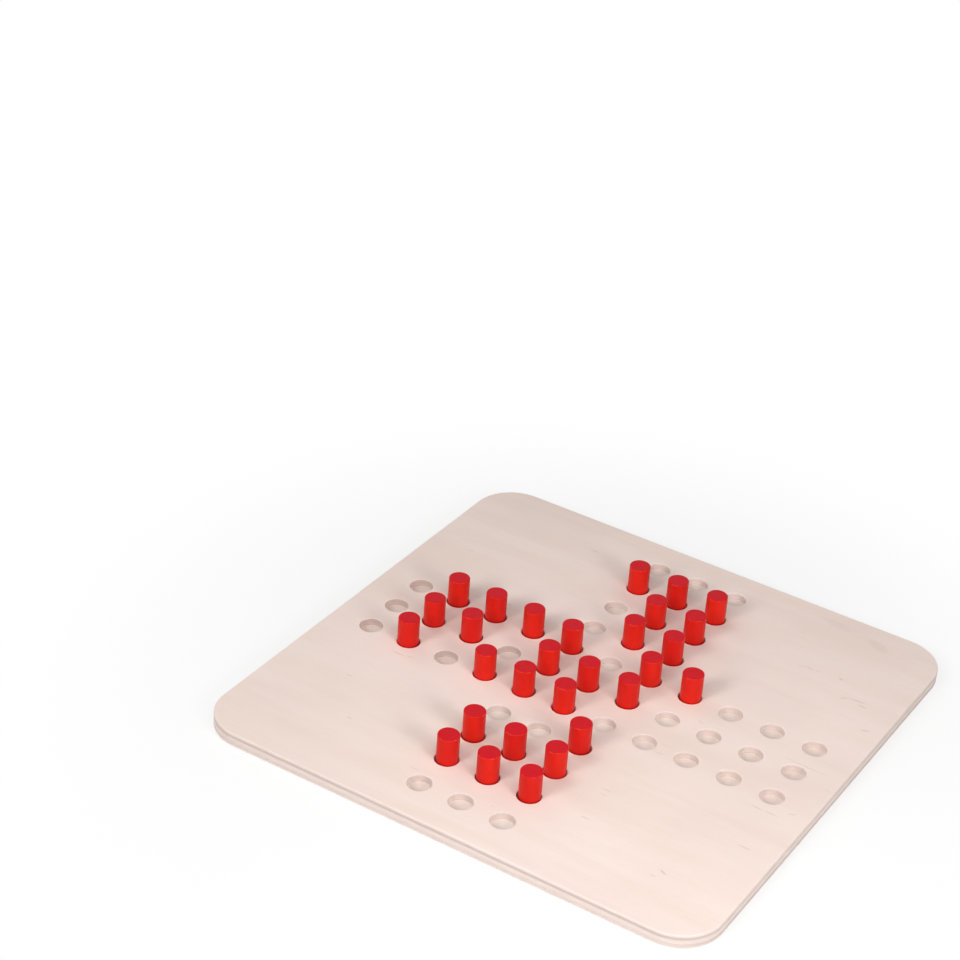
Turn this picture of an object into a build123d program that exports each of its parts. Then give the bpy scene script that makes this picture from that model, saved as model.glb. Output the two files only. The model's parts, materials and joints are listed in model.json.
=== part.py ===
from build123d import *
import os

# Peg solitaire board: a pierced top sheet glued on a plain base sheet, and loose cylindrical pegs.
# Millimetres. X runs along the face grain, Y across it and Z up.
# The origin is the middle of the underside.

# Board
BOARD_SIDE = 300.0
CORNER_RADIUS = 25.0
TOP_SHEET_THICKNESS = 4.0
BASE_SHEET_THICKNESS = 4.0
RIM_EASE = 0.8
SEAM_EASE = 0.35
MOUTH_EASE = 0.3

# Holes and pegs
HOLE_PITCH = 25.0
PEG_DIAMETER = 12.0
PEG_CLEARANCE = 0.5
PEG_STAND_OUT = 16.0
PEG_EASE = 0.6

# The cross of holes seen from above, with the far row (+Y) first and columns from -X to +X:
# "P" is a hole that holds a peg, "o" an empty hole and a space no hole.
LAYOUT = (
    "    ooo    ",
    "    PPP    ",
    "    oPP    ",
    "    oPP    ",
    "oPPPPoPPooo",
    "oPPoPPPoooo",
    "oPoPPPooooo",
    "    ooP    ",
    "    PPP    ",
    "    PPP    ",
    "    ooo    ",
)

HOLE_DIAMETER = PEG_DIAMETER + 2 * PEG_CLEARANCE
PEG_LENGTH = TOP_SHEET_THICKNESS + PEG_STAND_OUT


def hole_place(row, column):
    """X and Y of the hole at this row and column of the layout."""
    middle_row = (len(LAYOUT) - 1) / 2
    middle_column = (len(LAYOUT[0]) - 1) / 2
    return (column - middle_column) * HOLE_PITCH, (middle_row - row) * HOLE_PITCH


def holes(kinds):
    """Name and place of each hole whose mark is one of the given kinds."""
    found = []
    for row, marks in enumerate(LAYOUT):
        for column, mark in enumerate(marks):
            if mark in kinds:
                name = f"r{row + 1:02d}_c{column + 1:02d}"
                found.append((name, hole_place(row, column)))
    return found


def board_outline():
    """Square with rounded corners, shared by both sheets."""
    return RectangleRounded(BOARD_SIDE, BOARD_SIDE, CORNER_RADIUS)


def make_base_sheet():
    """Plain sheet whose upper face is the floor of every hole."""
    sheet = extrude(board_outline(), BASE_SHEET_THICKNESS)
    sheet = fillet(sheet.faces().sort_by(Axis.Z)[0].outer_wire().edges(), RIM_EASE)
    return chamfer(sheet.faces().sort_by(Axis.Z)[-1].outer_wire().edges(), SEAM_EASE)


def make_top_sheet():
    """Sheet with a through hole at each place of the cross, eased at the mouths and the rim."""
    outline = board_outline()
    for _, (x, y) in holes("Po"):
        outline -= Pos(x, y) * Circle(HOLE_DIAMETER / 2)
    sheet = extrude(outline, TOP_SHEET_THICKNESS)
    sheet = chamfer(sheet.faces().sort_by(Axis.Z)[0].outer_wire().edges(), SEAM_EASE)
    sheet = fillet(sheet.faces().sort_by(Axis.Z)[-1].outer_wire().edges(), RIM_EASE)
    mouths = [wire.edges() for wire in sheet.faces().sort_by(Axis.Z)[-1].inner_wires()]
    sheet = chamfer([edge for edges in mouths for edge in edges], MOUTH_EASE)
    return Pos(0, 0, BASE_SHEET_THICKNESS) * sheet


def make_peg(x, y):
    """Upright peg standing on the floor of its hole, with both ends softly rounded."""
    peg = extrude(Circle(PEG_DIAMETER / 2), PEG_LENGTH)
    peg = fillet(peg.edges().filter_by(GeomType.CIRCLE), PEG_EASE)
    return Pos(x, y, BASE_SHEET_THICKNESS) * peg


def save(shape, node):
    """Write one sub-part to its own file."""
    export_step(shape, f"parts/{node}.step")


os.makedirs("parts", exist_ok=True)
save(make_base_sheet(), "base_sheet")
save(make_top_sheet(), "top_sheet")
for place, (peg_x, peg_y) in holes("P"):
    save(make_peg(peg_x, peg_y), f"peg_{place}")
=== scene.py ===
import json
import math
import random

import bpy
import bmesh
from mathutils import Euler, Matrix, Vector
from mathutils.geometry import delaunay_2d_cdt


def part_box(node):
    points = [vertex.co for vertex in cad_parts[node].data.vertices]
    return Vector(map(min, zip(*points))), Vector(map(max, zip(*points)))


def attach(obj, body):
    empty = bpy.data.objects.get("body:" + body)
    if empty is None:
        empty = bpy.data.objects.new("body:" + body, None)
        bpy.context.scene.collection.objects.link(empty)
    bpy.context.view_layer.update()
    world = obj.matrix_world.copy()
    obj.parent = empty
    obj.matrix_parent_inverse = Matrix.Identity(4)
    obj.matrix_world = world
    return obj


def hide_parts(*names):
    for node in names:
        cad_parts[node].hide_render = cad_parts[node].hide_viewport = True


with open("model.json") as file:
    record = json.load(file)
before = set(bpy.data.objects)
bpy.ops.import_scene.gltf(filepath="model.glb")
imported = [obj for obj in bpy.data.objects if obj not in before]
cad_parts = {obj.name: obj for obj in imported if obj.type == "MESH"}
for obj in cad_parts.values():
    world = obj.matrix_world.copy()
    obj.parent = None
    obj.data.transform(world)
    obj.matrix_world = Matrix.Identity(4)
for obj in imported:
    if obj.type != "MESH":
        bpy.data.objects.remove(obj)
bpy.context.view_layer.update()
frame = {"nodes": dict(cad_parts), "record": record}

# Sizes of the board and the pegs, in metres. Places and heights come from the frame.
MM = 0.001
CORNER_RADIUS = 25 * MM
HOLE_RADIUS = 6.5 * MM
RIM_EASE = 0.8 * MM
SEAM_EASE = 0.2 * MM
MOUTH_EASE = 0.5 * MM
HOLE_FOOT_EASE = MOUTH_EASE / 3
PEG_EASE = 0.6 * MM

# Round stretches are drawn with this many steps.
CORNER_STEPS = 32
EASE_STEPS = 5
HOLE_STEPS = 72
PEG_STEPS = 72

# The flat ends of a peg are drawn with rings at these shares of its radius.
END_RINGS = (0.04, 0.5)

# How much the hand-made pegs differ at most: how far one stands off its hole's centre, how far it is out of
# round, and how steep its upper end is, of which each has at least the least share.
PEG_OFF_CENTRE = 0.3 * MM
PEG_OUT_OF_ROUND = 0.03 * MM
PEG_END_SLOPE = 0.008
PEG_LEAST_SLOPE = 0.2
SEED = 29

# A triangle is inside a hole when its middle is within this share of the hole's radius, and points that are
# closer than this in metres would count as one.
INSIDE_HOLE = 0.999
SAME_POINT = 1e-9

# Smooth shading follows large faces over small ones with this weight.
LARGE_FACE_WEIGHT = 100

TOP_LOW, TOP_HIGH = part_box("top_sheet")
BOARD_SIDE = TOP_HIGH[0] - TOP_LOW[0]
FACE_HEIGHT = TOP_HIGH[2]

# The floor lies a little under the board, and is white from FADE_END on.
FLOOR_REACH = 12.0
FLOOR_CUTS = 24
FLOOR_DROP = 0.2 * MM
FLOOR_DIM = (0.95, 0.95, 0.95, 1.0)
FLOOR_PALE = (0.98, 0.98, 0.98, 1.0)
FADE_START = 0.11
FADE_END = 0.32
FADE_LEAST = 0.60

WHITE = (1.0, 1.0, 1.0, 1.0)
SKY_STRENGTH = 0.27

# Square soft boxes, each aimed at the middle of the board: the degrees from the board's front round to +X,
# the degrees up, the distance and side in metres, the share of a level surface's light that it gives at the
# middle of the board, and whether it is mirrored in glossy surfaces.
SOFT_BOXES = {
    "soft_box_left": (-17, 33, 2.4, 0.78, 0.22, True),
    "soft_box_right": (66, 25, 1.2, 0.36, 0.16, True),
    "soft_box_over_camera": (34, 57, 0.47, 0.30, 0.255, True),
    "soft_box_back": (250, 28, 1.5, 0.95, 0.08, False),
}

# The camera, fitted to the pegs and the outline in the photograph: its place in metres, its turn in degrees,
# its sensor and lens in millimetres, and its shift as a share of the picture's width.
CAMERA_PLACE = (0.4831, -0.9426, 0.7653)
CAMERA_TURN = (59.065, -3.951, 32.178)
CAMERA_SENSOR = 36
CAMERA_LENS = 89.83
CAMERA_SHIFT = -0.0333


def linear(red, green, blue):
    """A colour given as it looks on screen, from 0 to 255, as the shader's linear values."""
    values = []
    for part in (red, green, blue):
        part = part / 255
        values.append(part / 12.92 if part <= 0.04045 else ((part + 0.055) / 1.055) ** 2.4)
    return (*values, 1.0)


# Colours of the plywood. An END colour is for end grain, and a LONG one for grain seen from its side.
FACE_PALE = linear(244, 226, 217)
FACE_WARM = linear(240, 220, 209)
FIBRE_DARK = linear(224, 202, 193)
SIDE_PALE = linear(227, 211, 203)
SIDE_DARK = linear(212, 195, 187)
GLUE_AND_SHADE_DARK = linear(160, 138, 128)
MARK_AND_SHADE_BROWN = linear(170, 142, 130)
TOP_CORE_END = linear(205, 188, 180)
TOP_CORE_LONG = linear(216, 200, 193)
BASE_CORE_END = linear(224, 207, 199)
BASE_CORE_LONG = linear(204, 188, 181)
HOLE_WALL_END = linear(216, 199, 192)
HOLE_WALL_LONG = linear(236, 220, 213)
HOLE_WALL_SHADE = linear(158, 132, 121)

# Painted shade on the holes' floors: what they are multiplied by, at the right and at the left of the board.
INNER_SHADE = (0.93, 0.96, 0.97, 1.0)
INNER_LEFT_SHADE = (0.92, 0.91, 0.91, 1.0)

# Colours of the pegs' paint.
PAINT_SIDE = linear(216, 34, 20)
PAINT_DEEP = linear(197, 21, 17)
PAINT_END = linear(203, 9, 29)
PAINT_EDGE_HIGHLIGHT = linear(240, 112, 96)
PAINT_GAP_SHADE = linear(110, 8, 16)

# Patterns: how long one patch is along X, Y and Z in metres, the detail, the roughness and the bend.
PATTERNS = {
    # Plywood, whose faces have their grain along X
    "bands": ((0.16, 0.022, 0.05), 3.0, 0.55, 0.4),
    "tone": ((0.09, 0.06, 0.05), 2.0, 0.5, 0.0),
    "fibre": ((0.012, 0.0006, 0.0006), 4.0, 0.6, 0.0),
    "fine": ((0.004, 0.00025, 0.00025), 2.0, 0.5, 0.0),
    "pores": ((0.005, 0.00045, 0.00045), 3.0, 0.7, 0.0),
    "fleck": ((0.010, 0.0013, 0.0013), 2.0, 0.5, 0.0),
    "fleck_patch": ((0.045, 0.030, 0.03), 1.0, 0.5, 0.0),
    "waver": ((0.018, 0.018, 0.4), 2.0, 0.5, 0.0),
    "end_grain": ((0.00035, 0.00035, 0.0005), 3.0, 0.65, 0.0),
    "streaks": ((0.010, 0.010, 0.0003), 3.0, 0.6, 0.0),
    # Paint
    "batch": ((0.02, 0.02, 0.3), 1.0, 0.5, 0.0),
    "coat": ((0.0035, 0.0035, 0.009), 3.0, 0.6, 0.0),
    "turned_grain": ((0.0005, 0.0005, 0.009), 3.0, 0.6, 0.0),
    "sawn_end": ((0.0007, 0.0007, 0.01), 3.0, 0.6, 0.0),
    "edge_highlight_patches": ((0.0025, 0.0025, 0.003), 3.0, 0.7, 0.0),
    # Floor
    "speckle": ((0.02, 0.02, 0.02), 3.0, 0.5, 0.0),
}

# Each sheet's patterns are moved by a shift of its own, so that their grain differs.
TOP_SHIFT = (0.0, 0.0, 0.0)
BASE_SHIFT = (7.3, 2.1, 4.4)

# Stains: the pattern, its values where the stain starts and where it is full, its full share, and its colour.
# The last three take their pattern from the way the grain runs.
FACE_STAINS = (
    ("bands", 0.35, 0.70, 1.00, FACE_WARM),
    ("tone", 0.40, 0.75, 0.25, FIBRE_DARK),
    ("fibre", 0.45, 0.80, 0.18, FIBRE_DARK),
    ("fine", 0.50, 0.80, 0.11, FIBRE_DARK),
    ("pores", 0.68, 0.82, 0.16, MARK_AND_SHADE_BROWN),
)
PAINT_STAINS = (
    ("batch", 0.40, 0.62, 0.50, PAINT_DEEP),
    ("coat", 0.45, 0.75, 0.35, PAINT_DEEP),
    ("turned_grain", 0.55, 0.80, 0.25, PAINT_DEEP),
)
END_STAINS = (
    ("sawn_end", 0.40, 0.75, 0.60, PAINT_DEEP),
)
CORE_STAIN = (0.30, 0.72, 0.35, GLUE_AND_SHADE_DARK)
VENEER_STAIN = (0.35, 0.80, 1.00, SIDE_DARK)
WALL_STAIN = (0.35, 0.75, 0.40, SIDE_DARK)

# Rare flecks show where both of their patterns are strong.
FLECK_RANGE = (0.68, 0.80)
FLECK_PATCH_RANGE = (0.52, 0.68)
FLECK_SHARE = 0.30

# What a surface is by the Z of its normal, from 0 on an upright surface to 1 on a level one: the values where
# each kind starts and is full, and for the edge also where it stops being full and ends.
SIDE_TILT = (0.90, 0.50)
INNER_FACE_TILT = (0.45, 0.75)
PEG_END_TILT = (0.55, 0.95)
PEG_EDGE_TILT = (0.15, 0.50, 0.70, 0.95)

# Each sheet of plywood is two thin face veneers round a thicker core. The layers waver and their edges are
# slightly blurred, and the glue shows within GLUE_END of an edge.
FACE_VENEER = 1.3 * MM
LAYER_WAVER = 0.25 * MM
LAYER_BLUR = 0.06 * MM
GLUE_FULL = 0.02 * MM
GLUE_END = 0.09 * MM
GLUE_SHARE = 0.35

# A wall belongs to a hole, and not to the sides, from this far inside the board's outline.
HOLE_ZONE_START = 8 * MM
HOLE_ZONE_FULL = 12 * MM
HOLE_CLEAN_SHARE = 0.85

# The dark line round the foot of a hole's wall, partly the glue joint and partly painted shade in the corner
# with the floor, by its height above the foot.
FOOT_LINE_FULL = 0.15 * MM
FOOT_LINE_END = 0.45 * MM
FOOT_LINE_SHARE = 0.40

# The holes get painted shade towards -X, between these places.
LEFT_SHADE_START = -15 * MM
LEFT_SHADE_FULL = -60 * MM
LEFT_SHADE_WALL_SHARE = 0.36

# A band of painted shade on a peg, in place of the shade in the gap at the hole's mouth, by its height from
# the board's upper face: where it starts, is full, stops being full and ends.
GAP_SHADE_SPAN = (-1.2 * MM, -0.7 * MM, 0.1 * MM, 0.4 * MM)
GAP_SHADE_SHARE = 0.30

# A painted highlight lightens the upper edge of a peg in patches, where its pattern is strong.
EDGE_HIGHLIGHT_RANGE = (0.48, 0.72)
EDGE_HIGHLIGHT_SHARE = 0.5

# Finish: the specular level; two values of a pattern and the roughness at each; the shares of two patterns in
# the relief; and the relief's strength and its depth in metres.
WOOD_SPECULAR = 0.35
WOOD_ROUGHNESS = (0.2, 0.8, 0.58, 0.72)
WOOD_RELIEF_SHARES = (0.6, 0.4)
WOOD_RELIEF = (0.35, 0.06 * MM)
PAINT_SPECULAR = 0.14
PAINT_ROUGHNESS = (0.3, 0.7, 0.36, 0.48)
PAINT_RELIEF_SHARES = (0.5, 0.5)
PAINT_RELIEF = (0.3, 0.08 * MM)
FLOOR_SPECULAR = 0.1
FLOOR_ROUGHNESS = 0.9

# Marks in the upper face that the photograph shows, and at the end two broad faint patches of painted shade:
# place from the board's middle, length, width and turn from the grain in degrees, and strength. Lengths are
# in millimetres.
MARKS_AND_PAINTED_SHADE = (
    (-65, 119, 7, 1.0, -4, 0.24),
    (-123, 74, 6, 1.0, -6, 0.22),
    (-75, 40, 3, 1.4, 0, 0.34),
    (86, 89, 5, 0.9, 22, 0.22),
    (90, 90, 6, 0.9, -12, 0.32),
    (95, 90, 4, 0.8, 10, 0.22),
    (109, 91, 4, 1.3, -14, 0.42),
    (118, 76, 6, 1.0, 34, 0.32),
    (125, 78, 11, 0.9, 3, 0.38),
    (129, 75, 6, 1.0, -4, 0.28),
    (140, 56, 6, 2.0, 25, 0.22),
    (65, 9, 6, 0.8, -20, 0.22),
    (128, 8, 28, 0.8, -1, 0.22),
    (60, -21, 8, 0.7, 2, 0.16),
    (61, -29, 6, 1.1, 0, 0.20),
    (140, -32, 5, 1.2, 25, 0.26),
    (123, -38, 8, 0.9, -6, 0.28),
    (131, -38, 9, 0.9, 0, 0.28),
    (132, -70, 8, 1.1, -2, 0.28),
    (57, -98, 6, 1.0, 0, 0.26),
    (109, -111, 5, 1.3, -22, 0.40),
    (106, -116, 4, 1.5, 0, 0.20),
    (-98, -38, 9, 0.9, -2, 0.28),
    (-91, -37, 6, 1.0, 8, 0.24),
    (-34, -117, 7, 0.9, 0, 0.22),
    (-85, -102, 5, 1.0, -6, 0.24),
    (-107, -71, 4, 1.3, 0, 0.20),
    # These two are painted shade where the back-right corner gets less light, not marks in the wood.
    (84, 139, 22, 7.0, -6, 0.09),
    (112, 133, 18, 8.0, -24, 0.11),
)

# A mark or a patch of painted shade fades between these squared distances, with its edge at 1, and the fibres
# make it uneven.
PATCH_FULL = 0.1
PATCH_END = 1.2
PATCH_WOBBLE = 2.4


# Shader helpers: each adds nodes to a tree and gives an output.
def connect(tree, socket, value):
    """Gives a socket a value, or links it to another node's output."""
    if isinstance(value, bpy.types.NodeSocket):
        tree.links.new(value, socket)
    else:
        socket.default_value = value


def add(tree, kind, **sockets):
    """A new node with a value or a link for each of the sockets named."""
    made = tree.nodes.new(kind)
    for name, value in sockets.items():
        connect(tree, made.inputs[name.replace("_", " ")], value)
    return made


def calculate(tree, operation, first, second=None, clamp=False):
    made = tree.nodes.new("ShaderNodeMath")
    made.operation = operation
    made.use_clamp = clamp
    connect(tree, made.inputs[0], first)
    if second is not None:
        connect(tree, made.inputs[1], second)
    return made.outputs[0]


def times(tree, first, second):
    return calculate(tree, "MULTIPLY", first, second)


def weighed(tree, first, second, shares):
    """The sum of two values, each times its share."""
    return calculate(tree, "ADD", times(tree, first, shares[0]), times(tree, second, shares[1]))


def without_sign(tree, value):
    return calculate(tree, "ABSOLUTE", value)


def apart(tree, value, mark):
    """How far a value is from a mark."""
    return without_sign(tree, calculate(tree, "SUBTRACT", value, mark))


def split(tree, vector):
    """The X, Y and Z of a vector."""
    return add(tree, "ShaderNodeSeparateXYZ", Vector=vector).outputs[:]


def between(tree, value, low, high, low_out=0.0, high_out=1.0):
    """Smooth step of value from low to high."""
    made = tree.nodes.new("ShaderNodeMapRange")
    made.interpolation_type = "SMOOTHSTEP"
    for name, number in (("Value", value), ("From Min", low), ("From Max", high),
                         ("To Min", low_out), ("To Max", high_out)):
        connect(tree, made.inputs[name], number)
    return made.outputs[0]


def within(tree, value, start, full, end_of_full, end):
    """Rises from 0 at start to 1 at full, and falls again from the end of the full stretch to the end."""
    return times(tree, between(tree, value, start, full), between(tree, value, end, end_of_full))


def blend(tree, share, first, second, how="MIX"):
    """The first colour with a share of the second."""
    made = tree.nodes.new("ShaderNodeMix")
    made.data_type = "RGBA"
    made.blend_type = how
    connect(tree, made.inputs[0], share)
    connect(tree, made.inputs[6], first)
    connect(tree, made.inputs[7], second)
    return made.outputs[2]


def stained(tree, base, pattern, start, full, share, stain):
    """The base colour with a stain that comes in from start and has its share from full on."""
    return blend(tree, between(tree, pattern, start, full, 0.0, share), base, stain)


def emboss(tree, shader, height, strength, depth):
    """Gives a shader the relief of a pattern."""
    bump = add(tree, "ShaderNodeBump", Strength=strength, Distance=depth, Height=height)
    connect(tree, shader.inputs["Normal"], bump.outputs[0])


def seen_directly(tree):
    """1 for rays from the camera and for mirrored and transmitted ones, and 0 for all others."""
    rays = add(tree, "ShaderNodeLightPath").outputs
    seen = calculate(tree, "ADD", rays["Is Camera Ray"], rays["Is Glossy Ray"])
    return calculate(tree, "ADD", seen, rays["Is Transmission Ray"], clamp=True)


def new_material(name):
    material = bpy.data.materials.new(name)
    material.use_nodes = True
    tree = material.node_tree
    return material, tree, tree.nodes["Principled BSDF"]


class Spot:
    """What a material reads of the spot that is shaded: its place, its normal and the patterns there."""

    def __init__(self, tree, normal, shift=(0.0, 0.0, 0.0)):
        self.tree = tree
        self.shift = shift
        self.made = {}
        self.place = add(tree, "ShaderNodeTexCoord").outputs["Object"]
        self.x, self.y, self.height = split(tree, self.place)
        self.normal = split(tree, add(tree, "ShaderNodeNewGeometry").outputs[normal])

    def pattern(self, name):
        """A noise pattern, made once and moved by the spot's shift."""
        if name not in self.made:
            sizes, detail, rough, bend = PATTERNS[name]
            scaled = add(self.tree, "ShaderNodeMapping", Vector=self.place, Location=self.shift,
                         Scale=[1 / size for size in sizes])
            noise = add(self.tree, "ShaderNodeTexNoise", Vector=scaled.outputs[0], Scale=1.0,
                        Detail=detail, Roughness=rough, Distortion=bend)
            self.made[name] = noise.outputs["Fac"]
        return self.made[name]

    def stains(self, colour, table):
        """The colour with every stain of a table."""
        for name, start, full, share, stain in table:
            colour = stained(self.tree, colour, self.pattern(name), start, full, share, stain)
        return colour


# Plywood
def mark_and_shade_strength(tree, place, wobble):
    """How strongly the marks and patches of painted shade darken the face at a place, each a lens along the
    grain.
    """
    total = None
    for x, y, length, width, turn, strength in MARKS_AND_PAINTED_SHADE:
        local = add(tree, "ShaderNodeMapping", Vector=place)
        local.vector_type = "TEXTURE"
        local.inputs["Location"].default_value = (x * MM, y * MM, 0)
        local.inputs["Rotation"].default_value = (0, 0, math.radians(turn))
        local.inputs["Scale"].default_value = (length * MM / 2, width * MM / 2, 1)
        along, across, _ = split(tree, local.outputs[0])
        far = calculate(tree, "ADD", times(tree, along, along), times(tree, across, across))
        uneven = calculate(tree, "ADD", far, wobble)
        one = between(tree, uneven, PATCH_END, PATCH_FULL, 0.0, strength)
        total = one if total is None else calculate(tree, "MAXIMUM", total, one)
    return total


def face_colour(spot, left_shade, marked_and_shaded):
    """Pale veneer: the upper face with its marks and painted shade patches, or the joint's face darkened by
    painted shade.
    """
    tree = spot.tree
    face = spot.stains(FACE_PALE, FACE_STAINS)
    rare = times(tree, between(tree, spot.pattern("fleck"), *FLECK_RANGE),
                 between(tree, spot.pattern("fleck_patch"), *FLECK_PATCH_RANGE))
    face = blend(tree, times(tree, rare, FLECK_SHARE), face, MARK_AND_SHADE_BROWN)
    if marked_and_shaded:
        # The marks, with the patches of painted shade among them.
        wobble = times(tree, calculate(tree, "SUBTRACT", spot.pattern("fibre"), 0.5), PATCH_WOBBLE)
        return blend(tree, mark_and_shade_strength(tree, spot.place, wobble), face, MARK_AND_SHADE_BROWN)
    # Painted shade darkens the face inside the joint, seen on the holes' floors, more towards -X.
    looks_up = between(tree, spot.normal[2], *INNER_FACE_TILT)
    shade = blend(tree, left_shade, INNER_SHADE, INNER_LEFT_SHADE)
    return blend(tree, looks_up, face, blend(tree, 1.0, face, shade, "MULTIPLY"))


def sawn_colour(spot, faces_y, core_texture, low, high, core_end, core_long):
    """The board's sides: a core between two face veneers, with a thin glue line at each joint."""
    tree = spot.tree
    waver = calculate(tree, "SUBTRACT", spot.pattern("waver"), 0.5)
    level = calculate(tree, "ADD", spot.height, times(tree, waver, LAYER_WAVER))
    from_middle = apart(tree, level, (low + high) / 2)
    core_half = (high - low) / 2 - FACE_VENEER
    in_core = between(tree, from_middle, core_half + LAYER_BLUR, core_half - LAYER_BLUR)
    at_glue = between(tree, apart(tree, from_middle, core_half), GLUE_END, GLUE_FULL)
    core = blend(tree, faces_y, core_long, core_end)
    core = stained(tree, core, core_texture, *CORE_STAIN)
    veneer_texture = blend(tree, faces_y, spot.pattern("end_grain"), spot.pattern("streaks"))
    veneer = stained(tree, SIDE_PALE, veneer_texture, *VENEER_STAIN)
    layers = blend(tree, in_core, veneer, core)
    return blend(tree, times(tree, at_glue, GLUE_SHARE), layers, GLUE_AND_SHADE_DARK)


def wall_colour(spot, sawn, faces_y, core_texture, left_shade, low):
    """The sides; hole walls are cleaner, with painted shade towards -X and glue and painted shade at their
    foot.
    """
    tree = spot.tree
    reach = calculate(tree, "MAXIMUM", without_sign(tree, spot.x), without_sign(tree, spot.y))
    in_hole = between(tree, reach, BOARD_SIDE / 2 - HOLE_ZONE_START, BOARD_SIDE / 2 - HOLE_ZONE_FULL)
    clean = blend(tree, faces_y, HOLE_WALL_LONG, HOLE_WALL_END)
    clean = stained(tree, clean, core_texture, *WALL_STAIN)
    # Painted shade on the holes' walls, growing towards -X.
    clean = blend(tree, times(tree, left_shade, LEFT_SHADE_WALL_SHARE), clean, HOLE_WALL_SHADE)
    wall = blend(tree, times(tree, in_hole, HOLE_CLEAN_SHARE), sawn, clean)
    # Glue and painted shade: a dark line round the foot of each hole's wall.
    at_foot = between(tree, spot.height, low + FOOT_LINE_END, low + FOOT_LINE_FULL, 0.0, FOOT_LINE_SHARE)
    return blend(tree, times(tree, at_foot, in_hole), wall, GLUE_AND_SHADE_DARK)


def plywood(node, shift, core_end, core_long, marked_and_shaded):
    """The wood of one sheet: pale faces with their grain along X, and layered sides and hole walls.

    The core's grain runs along Y, so its end grain shows on the sides that face along Y.
    """
    low, high = heights(node)
    material, tree, shader = new_material(node + "_wood")
    spot = Spot(tree, "True Normal", shift)
    # How much painted shade the holes get, rising towards -X.
    left_shade = between(tree, spot.x, LEFT_SHADE_START, LEFT_SHADE_FULL)
    faces_y = without_sign(tree, spot.normal[1])
    core_texture = blend(tree, faces_y, spot.pattern("streaks"), spot.pattern("end_grain"))
    sawn = sawn_colour(spot, faces_y, core_texture, low, high, core_end, core_long)
    side = between(tree, without_sign(tree, spot.normal[2]), *SIDE_TILT)
    colour = blend(tree, side, face_colour(spot, left_shade, marked_and_shaded),
                   wall_colour(spot, sawn, faces_y, core_texture, left_shade, low))
    connect(tree, shader.inputs["Base Color"], colour)

    # Sanded bare wood: matt, with a low relief of fibres
    fibre = spot.pattern("fibre")
    connect(tree, shader.inputs["Roughness"], between(tree, fibre, *WOOD_ROUGHNESS))
    shader.inputs["Specular IOR Level"].default_value = WOOD_SPECULAR
    face_relief = weighed(tree, fibre, spot.pattern("fine"), WOOD_RELIEF_SHARES)
    emboss(tree, shader, blend(tree, side, face_relief, core_texture), *WOOD_RELIEF)
    return material


def peg_paint():
    """Satin red paint on turned wood, deeper on the ends.

    The rounded upper edge has a patchy painted highlight, and painted shade darkens the peg at the hole's
    mouth.
    """
    material, tree, shader = new_material("peg_paint")
    spot = Spot(tree, "Normal")
    up = spot.normal[2]
    end = between(tree, up, *PEG_END_TILT)
    colour = blend(tree, end, spot.stains(PAINT_SIDE, PAINT_STAINS), spot.stains(PAINT_END, END_STAINS))
    # Painted highlight on the rounded upper edge, in patches.
    edge = within(tree, up, *PEG_EDGE_TILT)
    edge_highlight = between(tree, spot.pattern("edge_highlight_patches"), *EDGE_HIGHLIGHT_RANGE, 0.0, EDGE_HIGHLIGHT_SHARE)
    colour = blend(tree, times(tree, edge, edge_highlight), colour, PAINT_EDGE_HIGHLIGHT)
    # Painted shade: a darker band where the peg meets the hole's mouth, in place of the shade in the gap.
    ring = within(tree, spot.height, *[FACE_HEIGHT + height for height in GAP_SHADE_SPAN])
    colour = blend(tree, times(tree, ring, GAP_SHADE_SHARE), colour, PAINT_GAP_SHADE)
    connect(tree, shader.inputs["Base Color"], colour)
    coat = spot.pattern("coat")
    connect(tree, shader.inputs["Roughness"], between(tree, coat, *PAINT_ROUGHNESS))
    shader.inputs["Specular IOR Level"].default_value = PAINT_SPECULAR
    relief = weighed(tree, coat, spot.pattern("turned_grain"), PAINT_RELIEF_SHARES)
    emboss(tree, shader, relief, *PAINT_RELIEF)
    return material


def studio_floor():
    """Pale matt floor that keeps the shadow near the object and fades to the white of the backdrop."""
    material, tree, shader = new_material("studio_floor")
    spot = Spot(tree, "Normal")
    far = add(tree, "ShaderNodeVectorMath", Vector=spot.place)
    far.operation = "LENGTH"
    connect(tree, shader.inputs["Base Color"], blend(tree, spot.pattern("speckle"), FLOOR_DIM, FLOOR_PALE))
    shader.inputs["Roughness"].default_value = FLOOR_ROUGHNESS
    shader.inputs["Specular IOR Level"].default_value = FLOOR_SPECULAR
    white = add(tree, "ShaderNodeEmission", Color=WHITE, Strength=1.0)
    fade = between(tree, far.outputs["Value"], FADE_START, FADE_END, FADE_LEAST, 1.0)
    mix = tree.nodes.new("ShaderNodeMixShader")
    connect(tree, mix.inputs[0], times(tree, fade, seen_directly(tree)))
    connect(tree, mix.inputs[1], shader.outputs[0])
    connect(tree, mix.inputs[2], white.outputs[0])
    connect(tree, tree.nodes["Material Output"].inputs["Surface"], mix.outputs[0])
    return material


# Where things are
def heights(node):
    """The lowest and highest height of a CAD node."""
    low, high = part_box(node)
    return low[2], high[2]


def middle_of(low, high):
    return ((low[0] + high[0]) / 2, (low[1] + high[1]) / 2)


def body_of(node):
    """The CAD body that holds a node."""
    for body, nodes in frame["record"]["behaviour"]["bodies"].items():
        if node in nodes:
            return body


# Geometry helpers: a ring is a closed loop of points at one height.
def outline_ring(inset, height):
    """The board's outline, a square with rounded corners, moved in by inset."""
    reach = BOARD_SIDE / 2 - CORNER_RADIUS
    radius = CORNER_RADIUS - inset
    points = []
    for corner in range(4):
        across = reach if corner in (0, 3) else -reach
        along = reach if corner in (0, 1) else -reach
        for step in range(CORNER_STEPS + 1):
            angle = math.pi / 2 * (corner + step / CORNER_STEPS)
            points.append((across + radius * math.cos(angle), along + radius * math.sin(angle), height))
    return points


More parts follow.
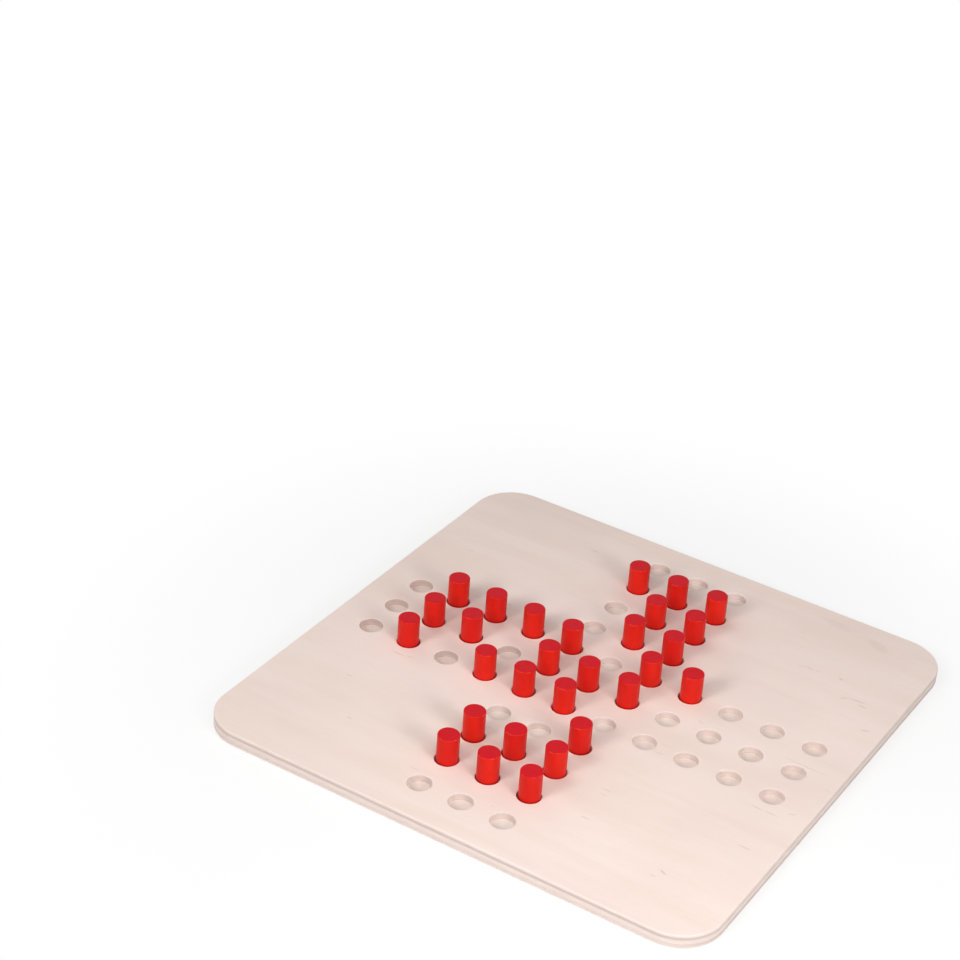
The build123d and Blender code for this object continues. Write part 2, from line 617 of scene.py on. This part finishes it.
def circle_ring(centre, radius, height, steps):
    points = []
    for step in range(steps):
        angle = 2 * math.pi * step / steps
        points.append((centre[0] + radius * math.cos(angle), centre[1] + radius * math.sin(angle), height))
    return points


def eased_profile(low, high, low_ease, high_ease):
    """Inset and height down a side whose two edges are rounded."""
    angles = [math.pi / 2 * step / EASE_STEPS for step in range(EASE_STEPS + 1)]
    upper = [(high_ease * (1 - math.sin(a)), high - high_ease * (1 - math.cos(a))) for a in angles]
    lower = [(low_ease * (1 - math.cos(a)), low + low_ease * (1 - math.sin(a))) for a in angles]
    return upper + lower


def flat_face(mesh, outline, rims):
    """Fills the flat between an outline and the round rims inside it, on the loops' own points."""
    points = []
    owners = []
    edges = []
    for loop in [outline] + rims:
        first = len(points)
        points += [point.co.xy for point in loop]
        owners += loop
        edges += [(first + k, first + (k + 1) % len(loop)) for k in range(len(loop))]
    holes = []
    for rim in rims:
        centre = sum((point.co.xy for point in rim), Vector((0, 0))) / len(rim)
        holes.append((centre, (rim[0].co.xy - centre).length * INSIDE_HOLE))
    flat, _, triangles, origins, _, _ = delaunay_2d_cdt(points, edges, [], 0, SAME_POINT)
    for triangle in triangles:
        middle = sum((flat[k] for k in triangle), Vector((0, 0))) / 3
        if not any((middle - centre).length < radius for centre, radius in holes):
            mesh.faces.new([owners[origins[k][0]] for k in triangle])


def bridge(mesh, rings):
    """Quads between each ring and the next."""
    for upper, lower in zip(rings, rings[1:]):
        count = len(upper)
        for k in range(count):
            after = (k + 1) % count
            mesh.faces.new((upper[k], upper[after], lower[after], lower[k]))


def finish_piece(mesh, name, material, body, node):
    """Turns a mesh in the making into a smooth-shaded piece that stands for its CAD node."""
    bmesh.ops.recalc_face_normals(mesh, faces=mesh.faces)
    for face in mesh.faces:
        face.smooth = True
    data = bpy.data.meshes.new(name)
    mesh.to_mesh(data)
    mesh.free()
    data.materials.append(material)
    piece = bpy.data.objects.new(name, data)
    bpy.context.collection.objects.link(piece)
    even = piece.modifiers.new("even_normals", "WEIGHTED_NORMAL")
    even.weight = LARGE_FACE_WEIGHT
    even.keep_sharp = True
    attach(piece, body)
    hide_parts(node)


def make_sheet(name, node, low_ease, high_ease, places, material):
    """A sheet with rounded corners and edges, pierced by a round hole at each place."""
    low, high = heights(node)
    mesh = bmesh.new()

    def points(ring):
        return [mesh.verts.new(point) for point in ring]

    rim = [points(outline_ring(inset, height))
           for inset, height in eased_profile(low, high, low_ease, high_ease)]
    walls = [[points(circle_ring(place, HOLE_RADIUS + inset, height, HOLE_STEPS))
              for inset, height in eased_profile(low, high, HOLE_FOOT_EASE, MOUTH_EASE)]
             for place in places]
    for side in [rim] + walls:
        bridge(mesh, side)
    flat_face(mesh, rim[0], [wall[0] for wall in walls])
    flat_face(mesh, rim[-1], [wall[-1] for wall in walls])
    finish_piece(mesh, name, material, "board", node)


def make_peg(node, chance, material):
    """A turned peg: rounded ends, very slightly out of round, standing loose in its hole."""
    low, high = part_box(node)
    bottom, top = low[2], high[2]
    radius = (high[0] - low[0]) / 2
    drift = chance.uniform(0, 2 * math.pi)
    far = PEG_OFF_CENTRE * math.sqrt(chance.random())
    oval = chance.uniform(0, 2 * math.pi)
    lean = chance.uniform(0, 2 * math.pi)
    slope = chance.uniform(PEG_LEAST_SLOPE, 1.0) * PEG_END_SLOPE
    middle = middle_of(low, high)
    centre = (middle[0] + far * math.cos(drift), middle[1] + far * math.sin(drift))
    mesh = bmesh.new()

    def shaped(ring_radius, height):
        """A ring of the peg's points, out of round, and lower where the end leans down."""
        ring = []
        share = (height - bottom) / (top - bottom)
        for x, y, z in circle_ring((0, 0), ring_radius, height, PEG_STEPS):
            angle = math.atan2(y, x)
            grow = 1 - PEG_OUT_OF_ROUND / radius * (1 + math.cos(2 * (angle - oval))) / 2
            sink = share * slope * (radius - (x * math.cos(lean) + y * math.sin(lean)))
            ring.append(mesh.verts.new((centre[0] + x * grow, centre[1] + y * grow, z - sink)))
        return ring

    rings = [shaped(radius * share, top) for share in END_RINGS]
    rings += [shaped(radius - inset, height)
              for inset, height in eased_profile(bottom, top, PEG_EASE, PEG_EASE)]
    rings += [shaped(radius * share, bottom) for share in reversed(END_RINGS)]
    bridge(mesh, rings)
    mesh.faces.new(rings[0])
    mesh.faces.new(rings[-1])
    finish_piece(mesh, "red_" + node, material, body_of(node), node)


def soft_box(name, compass, height, far, size, level, mirrored):
    """Adds a soft box with the settings that the table of soft boxes gives it."""
    around = math.radians(compass)
    up = math.radians(height)
    place = Vector((math.sin(around) * math.cos(up), -math.cos(around) * math.cos(up), math.sin(up))) * far
    data = bpy.data.lights.new(name, "AREA")
    data.shape = "SQUARE"
    data.size = size
    # The power that gives a level surface this share of its light from so far off and so high
    data.energy = level * math.pi ** 2 * far ** 2 / math.sin(up)
    light = bpy.data.objects.new(name, data)
    light.location = place
    light.rotation_euler = (-place).to_track_quat("-Z", "Y").to_euler()
    light.visible_glossy = mirrored
    bpy.context.collection.objects.link(light)


# The object
peg_nodes = sorted(node for node in frame["nodes"] if node.startswith("peg_"))
hole_places = [middle_of(*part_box(node)) for node in peg_nodes]
hole_places += [middle_of(*opening["box_m"]) for opening in frame["record"]["physics"]["openings"]]

top_wood = plywood("top_sheet", TOP_SHIFT, TOP_CORE_END, TOP_CORE_LONG, True)
base_wood = plywood("base_sheet", BASE_SHIFT, BASE_CORE_END, BASE_CORE_LONG, False)
make_sheet("board_top", "top_sheet", SEAM_EASE, RIM_EASE, hole_places, top_wood)
make_sheet("board_base", "base_sheet", RIM_EASE, SEAM_EASE, [], base_wood)

red = peg_paint()
chance = random.Random(SEED)
for node in peg_nodes:
    make_peg(node, chance, red)

# The studio
bpy.ops.mesh.primitive_grid_add(x_subdivisions=FLOOR_CUTS, y_subdivisions=FLOOR_CUTS, size=2 * FLOOR_REACH,
                                location=(0, 0, -FLOOR_DROP))
floor = bpy.context.object
floor.name = "floor"
floor.data.materials.append(studio_floor())

world = bpy.data.worlds.new("studio")
bpy.context.scene.world = world
world.use_nodes = True
sky = world.node_tree
background = sky.nodes["Background"]
background.inputs["Color"].default_value = WHITE
connect(sky, background.inputs["Strength"], between(sky, seen_directly(sky), 0.0, 1.0, SKY_STRENGTH, 1.0))

for name, settings in SOFT_BOXES.items():
    soft_box(name, *settings)

camera_data = bpy.data.cameras.new("camera")
camera_data.sensor_width = CAMERA_SENSOR
camera_data.lens = CAMERA_LENS
camera_data.shift_x = CAMERA_SHIFT
camera = bpy.data.objects.new("camera", camera_data)
camera.location = CAMERA_PLACE
camera.rotation_euler = Euler([math.radians(turn) for turn in CAMERA_TURN])
bpy.context.collection.objects.link(camera)
bpy.context.scene.camera = camera

bpy.context.scene.view_settings.view_transform = "Standard"
